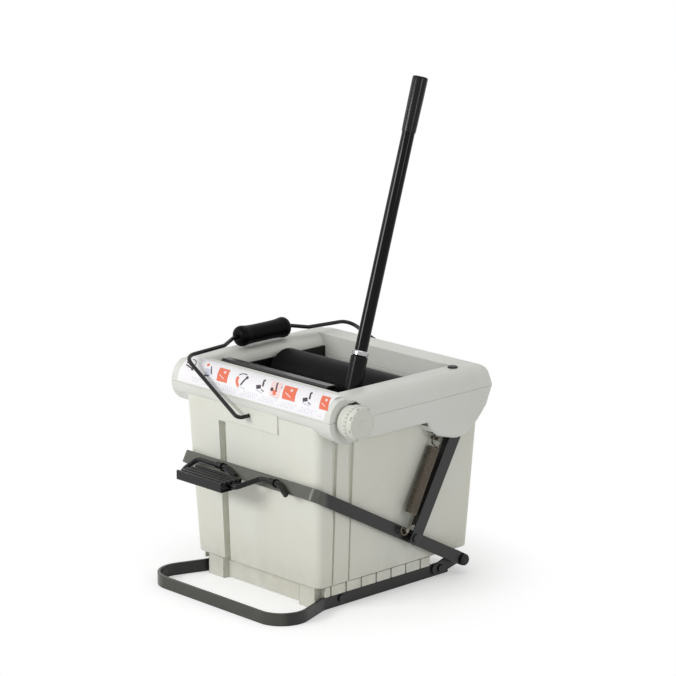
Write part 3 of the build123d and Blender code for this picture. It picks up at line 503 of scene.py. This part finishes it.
def drawWire(bm, track, radius, sides):  # a round wire along points, one ring after another
    last = len(track) - 1
    ways = [(track[min(i + 1, last)] - track[max(i - 1, 0)]).normalized() for i in range(last + 1)]
    turn = ways[0].to_track_quat("Z", "X")
    place = Matrix.Translation(track[0]) @ turn.to_matrix().to_4x4()
    bmesh.ops.create_circle(bm, cap_ends=True, radius=radius, segments=sides, matrix=place)
    edges = bm.edges[:]
    for index in range(1, last + 1):
        turn = ways[index - 1].rotation_difference(ways[index]) @ turn
        moved = Matrix.Translation(track[index]) @ turn.to_matrix().to_4x4()
        made = bmesh.ops.extrude_edge_only(bm, edges=edges)["geom"]
        verts = [item for item in made if isinstance(item, bmesh.types.BMVert)]
        fresh = set(verts)
        edges = [item for item in made
                 if isinstance(item, bmesh.types.BMEdge) and all(v in fresh for v in item.verts)]
        bmesh.ops.transform(bm, matrix=moved @ place.inverted(), verts=verts)
        place = moved
    bmesh.ops.contextual_create(bm, geom=edges)
    bmesh.ops.recalc_face_normals(bm, faces=bm.faces)


# extension springs between the arm's studs and the bucket's, in mm
# give is a share of the spring from its lower end; a point is worked out from it that nothing uses
spring = {"x": 153.0, "coil": 8.3, "hook": 7.7, "wire": 1.3, "turns": 33, "lowHook": 26.0, "highHook": 12.0,
          "neck": 8.0, "neckEase": 1.8, "tail": 3.0, "give": 0.5,
          "turnSteps": 24, "hookSteps": 12, "neckSteps": 10, "sides": 10, "smooth": 60}


def springTrack(side):
    low, high = middle("arm_studs") / mm, middle("anchor_studs") / mm
    low.x = high.x = side * spring["x"] + midX
    axis = (high - low).normalized()
    length = (high - low).length
    out = Vector((side, 0, 0))
    across = Vector((0, axis.z, -axis.y))
    coil, hook, neck, ease = spring["coil"], spring["hook"], spring["neck"], spring["neckEase"]
    first, final = spring["lowHook"], length - spring["highHook"]
    wound = spring["turns"] * math.tau
    turned = math.pi / 2 + wound
    hookSteps, neckSteps = spring["hookSteps"], spring["neckSteps"]
    coilSteps = spring["turns"] * spring["turnSteps"]
    track = []

    def go(along, turn, reach):
        track.append(low + axis * along + (across * math.cos(turn) + out * math.sin(turn)) * reach)

    go(spring["tail"], math.pi, hook)
    for step in range(hookSteps + 1):
        angle = math.pi * (1 - step / hookSteps)
        track.append(low + across * hook * math.cos(angle) - axis * hook * math.sin(angle))
    for step in range(neckSteps):
        share = step / neckSteps
        go(first - neck * (1 - share) ** ease, math.pi / 2 * share ** 2, hook + (coil - hook) * share)
    for step in range(coilSteps + 1):
        go(first + (final - first) * step / coilSteps, math.pi / 2 + wound * step / coilSteps, coil)
    for step in range(1, neckSteps + 1):
        share = step / neckSteps
        turn = turned + math.pi / 2 * (1 - (1 - share) ** 2)
        go(final + neck * share ** ease, turn, coil + (hook - coil) * share)
    for step in range(hookSteps + 1):
        angle = math.pi * step / hookSteps
        track.append(high - across * hook * math.cos(angle) + axis * hook * math.sin(angle))
    go(length - spring["tail"], turned - math.pi / 2, hook)
    return [point * mm for point in track], low * mm, high * mm


def makeSpring(side, name, node):
    track, low, high = springTrack(side)
    bm = bmesh.new()
    drawWire(bm, track, spring["wire"] * mm, spring["sides"])
    piece = keepPiece(name, bm, None, slotOf[node])
    smoothShade(piece, spring["smooth"])
    low + (high - low) * spring["give"]
    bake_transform(piece)
    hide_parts(node)


makeSpring(1, "pullSpringRight", "return_spring_right")
makeSpring(-1, "pullSpringLeft", "return_spring_left")
print("springs wound")


# carrying grip: distance from its middle and radius, mm
bailGrip = {"half": [(51.0, 3.4), (51.0, 7.2), (50.5, 9.4), (49.4, 11.8), (47.6, 13.9), (45.2, 15.3),
                     (42.4, 15.95), (39.6, 15.9), (36.2, 15.35), (32.0, 14.75), (27.0, 14.35),
                     (15.0, 14.05), (0.0, 14.0)],
            "steps": 56, "smooth": 50}


def makeBailGrip():
    centre = middle("bail_grip")
    half = bailGrip["half"]
    points = half + [(-along, radius) for along, radius in reversed(half[:-1])]
    points.append(points[0])
    bm = bmesh.new()
    run = [centre + Vector((radius, along, 0)) * mm for along, radius in points]
    spinRound(bm, run, centre, (0, 1, 0), bailGrip["steps"])
    piece = keepPiece("bailGripSleeve", bm, bodyOf["bail_grip"], slotOf["bail_grip"], looks["bail_grip"])
    smoothShade(piece, bailGrip["smooth"])
    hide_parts("bail_grip")


makeBailGrip()
print("carrying grip turned")


# lever grip: the lever's pivot, its lean in degrees, how far up it the grip's middle sits,
# then distance along the lever from there and radius, from the bottom of the bore round to the top, mm
leverGrip = {"pivot": (114.0, -57.5, 262.0), "lean": 17.07, "middle": 477.5, "steps": 48, "smooth": 40,
             "profile": [(35.6, 0.0), (35.6, 9.6), (-41.5, 9.6), (-41.5, 9.9), (-41.0, 10.4), (-30.0, 10.7),
                         (10.0, 11.2), (37.4, 11.4), (39.3, 11.1), (40.3, 10.0), (40.5, 8.6), (40.5, 0.0)]}


def makeLeverGrip():
    lean = math.radians(leverGrip["lean"])
    axis = Vector((0, math.sin(lean), math.cos(lean)))
    centre = at(*leverGrip["pivot"]) + axis * leverGrip["middle"] * mm
    bm = bmesh.new()
    run = [centre + (axis * along + Vector((radius, 0, 0))) * mm for along, radius in leverGrip["profile"]]
    spinRound(bm, run, centre, axis, leverGrip["steps"])
    piece = keepPiece("leverGripSleeve", bm, bodyOf["lever_grip"], slotOf["lever_grip"], looks["lever_grip"])
    smoothShade(piece, leverGrip["smooth"])
    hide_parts("lever_grip")


makeLeverGrip()
print("lever grip turned")


# pressure dial: distance from its back and radius, from the bottom of its bore round to the face, mm
# teeth on its flange, and notches round the face with width and turn in shares of their pitch
dial = {"profile": [(20.3, 0.0), (20.3, 7.1), (0, 7.1), (0, 22.4), (0.5, 23.0), (10.2, 23.0),
                    (10.7, 23.4), (11.0, 24.9), (11.6, 25.7), (12.4, 26.0), (15.8, 26.0), (18.6, 26.0),
                    (19.2, 25.6), (19.5, 25.0), (19.8, 24.7), (25.0, 24.7), (27.4, 24.5), (28.5, 23.9),
                    (29.1, 23.0), (29.2, 22.0), (29.2, 20.6), (28.2, 19.8), (27.9, 19.0), (27.9, 7.6),
                    (28.1, 6.8), (29.1, 6.2), (29.2, 5.4), (29.2, 3.4), (28.6, 2.8), (28.6, 0.0)],
        "steps": 112, "smooth": 30,
        "teeth": (15.8, 19.8), "toothRadius": 24.7, "toothEvery": 4, "toothInset": 0.2, "toothCut": 1.3,
        "notches": 8, "notchFrom": 25.0, "notchRadius": 22.4, "notchWide": 0.29, "notchTurn": 0.64,
        "notchInset": 0.3, "notchCut": 2.2}


def makeDial():
    low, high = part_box("dial_knob")
    centre = Vector((low[0], (low[1] + high[1]) / 2, (low[2] + high[2]) / 2))
    bm = bmesh.new()
    run = [centre + Vector((along, 0, radius)) * mm for along, radius in dial["profile"]]
    spinRound(bm, run, centre, (1, 0, 0), dial["steps"])
    pitch = math.tau / dial["steps"]
    toothFrom, toothTo = dial["teeth"]
    teeth, notches = [], []
    for face in bm.faces:
        spot = (face.calc_center_median() - centre) / mm
        turn = math.atan2(spot.y, spot.z) % math.tau
        radius = math.hypot(spot.y, spot.z)
        onFlange = toothFrom < spot.x < toothTo and radius > dial["toothRadius"]
        if onFlange and int(turn / pitch) % dial["toothEvery"] == 0:
            teeth.append(face)
        onFace = spot.x > dial["notchFrom"] and radius > dial["notchRadius"]
        share = (turn / math.tau * dial["notches"] - dial["notchTurn"] + 0.5) % 1 - 0.5
        if onFace and abs(share) < dial["notchWide"] / 2:
            notches.append(face)
    for faces, inset, cut in ((teeth, "toothInset", "toothCut"), (notches, "notchInset", "notchCut")):
        bmesh.ops.inset_region(bm, faces=faces, thickness=dial[inset] * mm, depth=-dial[cut] * mm,
                               use_even_offset=True)
    piece = keepPiece("dialGrip", bm, bodyOf["dial_knob"], slotOf["dial_knob"])
    smoothShade(piece, dial["smooth"])
    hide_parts("dial_knob")


makeDial()
print("dial turned")


# foot pad: its section in mm from the wire it turns on, the ribs along its top and its hollow ends
pad = {"half": 20.0, "low": -6.5, "groove": 3.9, "top": 7.5, "ribs": 5, "ribTop": 4.4, "slope": 0.7,
       "round": 1.0, "roundSteps": 3, "endFacing": 0.9, "endLip": 1.4, "endDeep": 5.0, "smooth": 34}


def makePad():
    low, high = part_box("pedal_pad")
    middleY = (low[1] + high[1]) / 2
    wireZ = high[2] - pad["top"] * mm
    outline = [(pad["half"], pad["low"]), (-pad["half"], pad["low"])]
    pitch = (2 * pad["half"] - pad["ribTop"]) / (pad["ribs"] - 1)
    for rib in range(pad["ribs"]):
        left = -pad["half"] + rib * pitch
        right = left + pad["ribTop"]
        if rib:
            outline.append((left - pad["slope"], pad["groove"]))
        outline += [(left, pad["top"]), (right, pad["top"])]
        if rib < pad["ribs"] - 1:
            outline.append((right + pad["slope"], pad["groove"]))
    bm = bmesh.new()
    run = drawLine(bm, [Vector((low[0], middleY + y * mm, wireZ + z * mm)) for y, z in outline])
    bmesh.ops.contextual_create(bm, geom=[run[-1], run[0]])
    bmesh.ops.contextual_create(bm, geom=bm.edges[:])
    bmesh.ops.bevel(bm, geom=bm.verts[:], offset=pad["round"] * mm, segments=pad["roundSteps"], profile=0.5,
                    affect="VERTICES", clamp_overlap=True, material=-1)
    made = bmesh.ops.extrude_face_region(bm, geom=bm.faces[:])["geom"]
    moved = [item for item in made if isinstance(item, bmesh.types.BMVert)]
    bmesh.ops.translate(bm, verts=moved, vec=(high[0] - low[0], 0, 0))
    bmesh.ops.recalc_face_normals(bm, faces=bm.faces)
    ends = [face for face in bm.faces if abs(face.normal.x) > pad["endFacing"]]
    bmesh.ops.inset_individual(bm, faces=ends, thickness=pad["endLip"] * mm, depth=-pad["endDeep"] * mm,
                               use_even_offset=False)
    piece = keepPiece("pedalTread", bm, bodyOf["pedal_pad"], slotOf["pedal_pad"], looks["pedal_pad"])
    smoothShade(piece, pad["smooth"])
    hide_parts("pedal_pad")


makePad()
print("pad ribbed")


# picture strip round the front beam: places in mm across it and down from its upper edge, angles in degrees
# film, ink and over are the heights of its layers, base and tuck how far one reaches into the one below
strip = {"y": -107.1, "z": 294.0, "radius": 33.8, "left": -158.0, "right": 160.0, "start": 2.0, "stop": 85.0,
         "lean": 0.46, "pivot": 22.5, "row": 2.0, "rowMerge": 1e-5, "smooth": 40,
         "film": 0.14, "ink": 0.2, "over": 0.26, "base": 0.05, "tuck": 0.02,
         "middle": 22.5, "grow": 1.3, "discSides": 28, "bowSteps": 14,
         "squares": [(-80, 23), (62, 27), (140, 18)], "squareTall": 23,
         "figures": [("press", -143), ("rinse", -101), ("turn", -26), ("wipe", 14), ("wring", 46),
                     ("wipe", 113)]}
# pale roller and pedal on each square: discX, barX and barLong in shares of its size, the rest as above
squareMark = {"discX": 0.62, "discY": -4.5, "discRadius": 2.6,
              "barX": 0.42, "barY": 4, "barLong": 0.5, "barTall": 1.5, "barTurn": 24}
# fine broken rules above and below the pictures
dashes = {"rows": [3.0, 6.0, 38.5, 41.4, 44.3], "step": 4.6, "inset": 24, "spare": 8, "tall": 1.1,
          "shortest": 1.4, "longer": 0.9, "lengths": 3, "stepPace": 7, "rowPace": 5, "group": 9, "shown": 7}
# plain marks: kind, ink, offset across and down, then a bar's width, height and turn,
# a disc's radius, or a bow's radius, width, start and sweep
marks = {
    "press": [("bar", "stripInk", -1.0, 1.5, 11.0, 1.8, 16), ("bar", "stripInk", -3.5, -4.0, 5.5, 3.0, -20),
              ("bow", "stripInk", 2.0, -3.5, 6.5, 1.5, 250, 120), ("disc", "stripInk", 5.5, 3.5, 2.0)],
    "rinse": [("bar", "stripTint", 0.0, 1.5, 10.0, 8.0, 0), ("bar", "stripInk", -1.5, 6.5, 9.0, 1.6, -8),
              ("bar", "stripInk", 4.5, -1.5, 1.6, 11.0, -24), ("disc", "stripRed", -4.0, -7.9, 2.3)],
    "turn": [("bow", "stripRed", 0.0, 1.5, 8.2, 4.2, 120, 90), ("bow", "stripInk", 0.5, 0.5, 9.6, 1.7, 215, 80),
             ("bar", "stripInk", 2.6, 1.2, 2.2, 13.0, 34), ("disc", "stripInk", 6.4, -4.4, 2.2),
             ("bar", "stripTint", 1.0, 9.0, 11.0, 1.4, 8)],
    "wipe": [("bar", "stripInk", -2.5, 3.0, 7.5, 4.6, -16), ("bar", "stripInk", 3.4, -3.0, 2.6, 8.5, -8),
             ("disc", "stripInk", 3.6, -7.5, 1.7), ("bar", "stripTint", -1.0, 8.0, 12.0, 1.6, 10),
             ("bar", "stripInk", 4.6, 6.0, 4.6, 1.3, 24)],
    "wring": [("bar", "stripBlush", 0.0, -0.5, 17.0, 20.0, 0), ("bar", "stripInk", 0.6, -3.0, 2.4, 13.0, -10),
              ("bar", "stripRed", -0.8, 4.6, 5.0, 6.0, -10), ("disc", "stripInk", -5.4, 1.6, 2.4),
              ("bow", "stripInk", 5.0, -4.0, 3.6, 1.4, 250, 150), ("bar", "stripTint", 0.0, 9.6, 12.0, 1.4, 8)],
}
stripInks = {
    "stripFilm": printFilm("filmWhite", shade(243, 241, 243), rough=0.3),
    "stripTint": printFilm("filmTint", shade(206, 210, 224), rough=0.36),
    "stripBlush": printFilm("filmBlush", shade(246, 217, 214), rough=0.36),
    "stripRed": printFilm("filmRed", shade(233, 116, 84), rough=0.34),
    "stripInk": printFilm("filmInk", shade(66, 58, 66), rough=0.4),
}


def slab(bm, x, y, wide, tall, low, high, turn=0.0):
    place = Matrix.Translation(Vector((x, y, (low + high) / 2))) @ Matrix.Rotation(math.radians(turn), 4, "Z")
    bmesh.ops.create_cube(bm, size=1.0, matrix=place @ Matrix.Diagonal((wide, tall, high - low, 1)))


def disc(bm, x, y, radius, low, high):
    bmesh.ops.create_cone(bm, cap_ends=True, segments=strip["discSides"], radius1=radius, radius2=radius,
                          depth=high - low, matrix=Matrix.Translation(Vector((x, y, (low + high) / 2))))


def bow(bm, x, y, radius, wide, start, sweep, low, high):  # part of a flat ring
    place = Matrix.Translation((x + radius, y, low)) @ Matrix.Rotation(math.pi / 2, 4, "X")
    made = bmesh.ops.create_grid(bm, x_segments=1, y_segments=1, size=0.5,
                                 matrix=place @ Matrix.Diagonal((wide, high - low, 1, 1)))
    face = made["verts"][0].link_faces[0]
    geom = [face] + face.verts[:] + face.edges[:]
    bmesh.ops.rotate(bm, verts=made["verts"], cent=(x, y, 0),
                     matrix=Matrix.Rotation(math.radians(start), 3, "Z"))
    bmesh.ops.spin(bm, geom=geom, cent=(x, y, 0), axis=(0, 0, 1), angle=math.radians(sweep),
                   steps=strip["bowSteps"], use_duplicate=False)


def wrapStrip(bm, lean):  # flat millimetres bent round the beam, which mirrors them
    bmesh.ops.recalc_face_normals(bm, faces=bm.faces)
    start, radius = math.radians(strip["start"]), strip["radius"]
    rows = int((math.radians(strip["stop"]) - start) * radius / strip["row"])
    for row in range(1, rows + 1):
        everything = bm.verts[:] + bm.edges[:] + bm.faces[:]
        bmesh.ops.bisect_plane(bm, geom=everything, plane_co=(0, row * strip["row"], 0), plane_no=(0, 1, 0),
                               dist=strip["rowMerge"])
    for v in bm.verts:
        turn = start + v.co.y / radius
        reach = radius + v.co.z
        across = v.co.x + lean * (v.co.y - strip["pivot"])
        v.co = at(across, strip["y"] - reach * math.sin(turn), strip["z"] + reach * math.cos(turn))
    bmesh.ops.reverse_faces(bm, faces=bm.faces)


def printSquares(red, blush):  # a red field with a pale roller and pedal on it
    mark, centre = squareMark, strip["middle"]
    low, ink, over = strip["film"] - strip["base"], strip["ink"], strip["over"]
    for x, size in strip["squares"]:
        slab(red, x + size / 2, centre, size, strip["squareTall"], low, ink)
        disc(blush, x + size * mark["discX"], centre + mark["discY"], mark["discRadius"],
             ink - strip["tuck"], over)
        slab(blush, x + size * mark["barX"], centre + mark["barY"], size * mark["barLong"], mark["barTall"],
             ink - strip["tuck"], over, mark["barTurn"])


def printFigures(layers):
    film, ink, over, grow = strip["film"], strip["ink"], strip["over"], strip["grow"]
    for kind, centre in strip["figures"]:
        for shape, name, x, y, first, *rest in marks[kind]:
            pale = name in ("stripTint", "stripBlush")
            low, high = (film - strip["base"], ink) if pale else (film - strip["tuck"], over)
            across, down = centre + x * grow, strip["middle"] + y * grow
            if shape == "bar":
                slab(layers[name], across, down, first * grow, rest[0] * grow, low, high, rest[1])
            elif shape == "disc":
                disc(layers[name], across, down, first * grow, low, high)
            else:
                bow(layers[name], across, down, first * grow, rest[0] * grow, rest[1], rest[2], low, high)


def printDashes(layer, wide):
    count = int(wide / dashes["step"]) - dashes["spare"]
    for row, y in enumerate(dashes["rows"]):
        for step in range(count):
            if (step + row) % dashes["group"] < dashes["shown"]:
                pick = (step * dashes["stepPace"] + row * dashes["rowPace"]) % dashes["lengths"]
                length = dashes["shortest"] + dashes["longer"] * pick
                slab(layer, strip["left"] + dashes["inset"] + step * dashes["step"], y, length, dashes["tall"],
                     strip["film"] - strip["base"], strip["ink"])


def makeStrip():
    layers = {name: bmesh.new() for name in stripInks}
    tall = math.radians(strip["stop"] - strip["start"]) * strip["radius"]
    wide = strip["right"] - strip["left"]
    slab(layers["stripFilm"], (strip["left"] + strip["right"]) / 2, tall / 2, wide, tall,
         -strip["base"], strip["film"])
    printSquares(layers["stripRed"], layers["stripBlush"])
    printFigures(layers)
    printDashes(layers["stripTint"], wide)
    for name, bm in layers.items():
        wrapStrip(bm, 0.0 if name == "stripFilm" else strip["lean"])
        piece = keepPiece(name, bm, "base", "dial_plastic", stripInks[name])
        smoothShade(piece, strip["smooth"])


makeStrip()
print("strip printed")


# strengths, then metres: where the floor fades to plain white, its size, and the height that the lamps aim at
studio = {"sky": 0.5, "floor": 0.82, "lift": 0.33, "fade": (0.20, 0.36), "floorRadius": 40, "floorSides": 96,
          "aim": 0.3}
lamps = {  # direction from the object, distance, width, height, watts
    "keyLamp": ((-0.20, -0.92, 0.38), 2.55, 1.15, 0.52, 28.0),
    "leftLamp": ((-0.80, -0.45, 0.40), 2.8, 0.9, 0.9, 4.0),
    "sideLamp": ((0.94, -0.10, 0.32), 2.6, 0.4, 0.8, 7.5),
    "topLamp": ((0.05, 0.25, 0.95), 2.4, 1.4, 1.4, 7.0),
}


def setSky():  # white to the camera and to mirrors, dimmer as a light
    scene.world = bpy.data.worlds.new("studio")
    scene.world.use_nodes = True
    sky = Graph(scene.world.node_tree)
    back = sky.tree.nodes["Background"]
    back.inputs["Color"].default_value = (1, 1, 1, 1)
    sky.feed(back.inputs["Strength"], studio["sky"] + (1 - studio["sky"]) * sky.seen())


def setFloor():  # chalk near the object, so that its shadow shows, and white further off
    bm = bmesh.new()
    bmesh.ops.create_circle(bm, cap_ends=True, radius=studio["floorRadius"], segments=studio["floorSides"])
    mesh = bpy.data.meshes.new("floor")
    bm.to_mesh(mesh)
    bm.free()
    floor = bpy.data.objects.new("floor", mesh)
    scene.collection.objects.link(floor)
    paint = bpy.data.materials.new("floorPaint")
    paint.use_nodes = True
    ground = Graph(paint.node_tree)
    ground.tree.nodes.remove(ground.tree.nodes["Principled BSDF"])
    level = studio["floor"]
    spot = ground.add("TexCoord", output="Object")
    away = ground.add("VectorMath", {"operation": "LENGTH"}, {0: spot}, output="Value")
    chalk = ground.add("BsdfDiffuse", inputs={"Color": (level, level, level, 1)})
    glow = ground.add("Emission", inputs={"Color": ground.seen() * studio["lift"], "Strength": 1.0})
    near = ground.add("AddShader", inputs={0: chalk, 1: glow})
    far = ground.add("Emission", inputs={"Strength": 1.0})
    share = ground.band(away, *studio["fade"]) * ground.seen()
    both = ground.add("MixShader", inputs={0: share, 1: near, 2: far})
    ground.feed(ground.tree.nodes["Material Output"].inputs["Surface"], both)
    mesh.materials.append(paint)


def setLamps():
    for name, (way, away, wide, tall, watts) in lamps.items():
        data = bpy.data.lights.new(name, "AREA")
        data.shape = "RECTANGLE"
        data.size, data.size_y = wide, tall
        data.energy = watts
        lamp = bpy.data.objects.new(name, data)
        scene.collection.objects.link(lamp)
        aim = Vector(way).normalized()
        lamp.location = Vector((0, 0, studio["aim"])) + aim * away
        lamp.rotation_euler = aim.to_track_quat("Z", "Y").to_euler()


scene.view_settings.view_transform = "Standard"
setSky()
setFloor()
setLamps()
print("studio lit")
